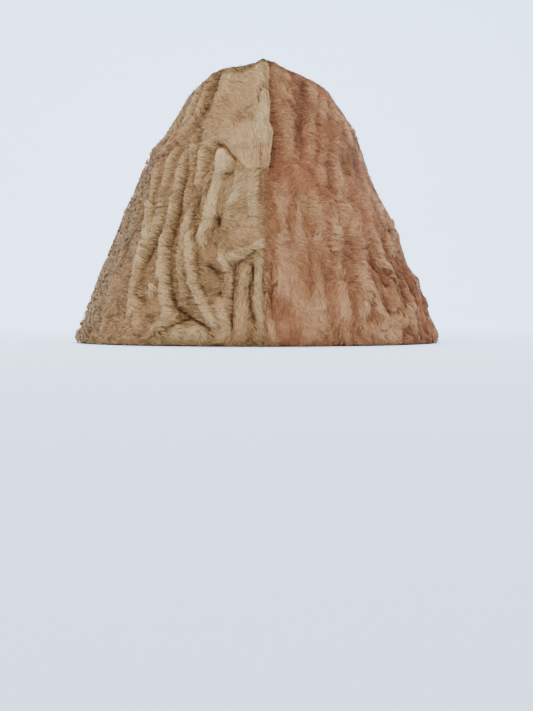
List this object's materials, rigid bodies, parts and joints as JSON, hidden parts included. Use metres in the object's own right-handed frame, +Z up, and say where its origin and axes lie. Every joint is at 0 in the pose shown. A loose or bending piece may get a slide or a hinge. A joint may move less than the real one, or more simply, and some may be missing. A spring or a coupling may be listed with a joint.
{
  "type": "karakul cap",
  "caption": "Brimless folding cap of curled lamb pelt: ribbed side panels that meet in a creased ridge, a turned-in hem and a dark cloth lining.",
  "frame": {"origin": "on the table, at the middle of the rim's oval", "axes": "+Z up through the crown, -Y the way the wearer looks, +X the wearer's left"},
  "size_m": [0.1747, 0.2013, 0.124],
  "materials": {
    "beige_pelt": "short curled fur lying in ribs, soft satin",
    "russet_pelt": "short curled fur lying in ribs, soft satin",
    "crown_pelt": "short curled fur, soft satin",
    "dark_cloth": "plain woven lining cloth, low sheen"
  },
  "bodies": {
    "root": {"left_panel": "beige_pelt", "right_panel": "russet_pelt", "crown_insert": "crown_pelt", "lining": "dark_cloth"}
  },
  "joints": []
}
